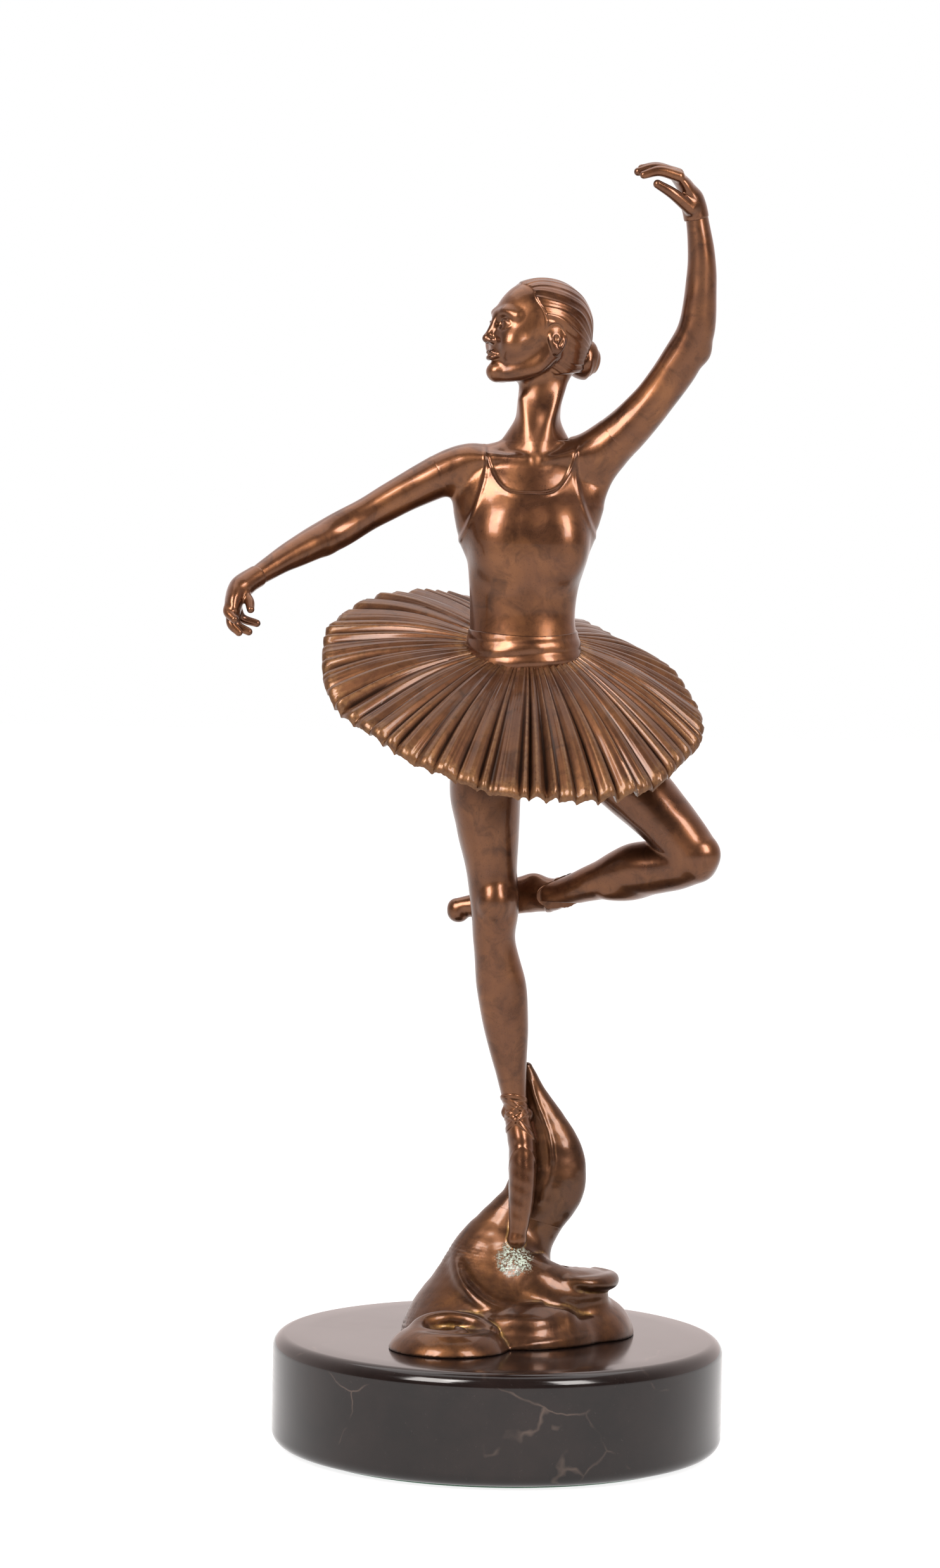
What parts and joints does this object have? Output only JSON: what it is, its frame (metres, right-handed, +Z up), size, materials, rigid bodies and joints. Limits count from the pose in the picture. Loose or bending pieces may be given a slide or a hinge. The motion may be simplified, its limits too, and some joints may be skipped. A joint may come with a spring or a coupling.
{
  "type": "bronze dancer statuette",
  "caption": "Cast bronze ballet dancer balanced on one pointed foot above a curling wave, in a pleated skirt, on a round polished marble plinth.",
  "frame": {"origin": "centre of the felt face that the plinth rests on", "axes": "+X to the viewer's right, +Y away from the viewer, +Z up"},
  "size_m": [0.1353, 0.12, 0.3414],
  "materials": {
    "patinated_bronze": "warm brown patina over cast bronze, waxed and glossy",
    "dowel_brass": "turned",
    "black_marble": "polished black with fine pale veins",
    "green_felt": "felt",
    "fixing_steel": "zinc plated"
  },
  "bodies": {
    "root": {"felt_pad": "green_felt", "fixing_nut": "fixing_steel", "fixing_stud": "fixing_steel", "fixing_washer": "fixing_steel", "ground_mound": "patinated_bronze", "hair_bun": "patinated_bronze", "head": "patinated_bronze", "locating_dowels": "dowel_brass", "lowered_arm": "patinated_bronze", "lowered_hand": "patinated_bronze", "marble_plinth": "black_marble", "pelvis": "patinated_bronze", "raised_arm": "patinated_bronze", "raised_hand": "patinated_bronze", "raised_leg": "patinated_bronze", "raised_shoe": "patinated_bronze", "standing_leg": "patinated_bronze", "standing_shoe": "patinated_bronze", "torso": "patinated_bronze", "turn_stop_pin": "fixing_steel", "tutu_skirt": "patinated_bronze", "waist_sash": "patinated_bronze", "wave_crest": "patinated_bronze"}
  },
  "joints": []
}
